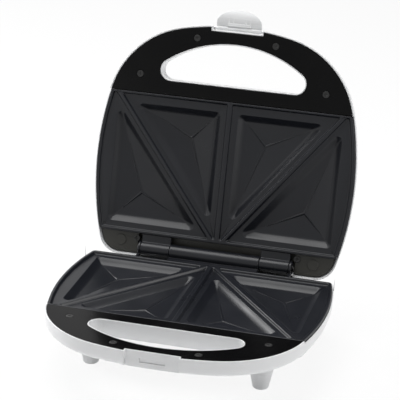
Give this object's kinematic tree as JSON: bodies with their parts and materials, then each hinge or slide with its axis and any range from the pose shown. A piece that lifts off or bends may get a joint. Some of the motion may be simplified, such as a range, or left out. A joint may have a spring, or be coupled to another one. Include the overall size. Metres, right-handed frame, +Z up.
{
  "type": "sandwich toaster",
  "caption": "Table-top sandwich toaster with two hinged halves, cast triangular pockets, carrying handles and a front latch.",
  "frame": {"origin": "centre of the object's footprint on the table, with the lid open", "axes": "+X to the toaster's right, -Y towards the handle of the base, +Z up"},
  "size_m": [0.2368, 0.2673, 0.2689],
  "materials": {
    "white_shell": "smooth, slightly glossy moulded plastic",
    "gloss_black": "high gloss moulded plastic",
    "cast_plate": "dark satin non-stick coating on cast metal",
    "dark_cover": "matt moulded plastic",
    "gland_rubber": "matt rubber",
    "ceramic": "unglazed ceramic",
    "red_lens": "clear red plastic",
    "green_lens": "clear green plastic",
    "lamp_glass": "small neon lamp",
    "reflector_sheet": "bright rolled sheet",
    "dark_screw": "blackened steel",
    "steel": "plain bright steel"
  },
  "bodies": {
    "base": {"base_shell": "white_shell", "base_trim": "gloss_black", "base_plate": "cast_plate", "base_heater": "steel", "base_heater_clips": "steel", "base_reflector": "reflector_sheet", "base_trim_screws": "dark_screw", "base_plate_screws": "steel", "front_left_foot": "white_shell", "front_right_foot": "white_shell", "rear_left_foot": "white_shell", "rear_right_foot": "white_shell", "cord_gland": "gland_rubber", "terminal_block": "ceramic", "hinge_pin": "steel", "hinge_clip": "steel"},
    "lid": {"lid_shell": "white_shell", "lid_trim": "gloss_black", "lid_plate": "cast_plate", "lid_rear_cover": "dark_cover", "lid_heater": "steel", "lid_heater_clips": "steel", "lid_reflector": "reflector_sheet", "lid_trim_screws": "dark_screw", "lid_rear_screws": "dark_screw", "thermostat": "ceramic", "thermal_fuse": "steel", "power_lens": "red_lens", "ready_lens": "green_lens", "power_lamp": "lamp_glass", "ready_lamp": "lamp_glass", "latch_pin": "steel"},
    "latch": {"latch": "white_shell"}
  },
  "joints": [
    {"name": "lid_hinge", "type": "hinge", "parent": "base", "child": "lid", "pos_m": [0, 0.07225, 0.0551], "axis": [1, 0, 0], "range_deg": [0, 104]},
    {"name": "latch_pivot", "type": "hinge", "parent": "lid", "child": "latch", "pos_m": [0, 0.12582, 0.25219], "axis": [1, 0, 0], "range_deg": [0, 90]}
  ]
}
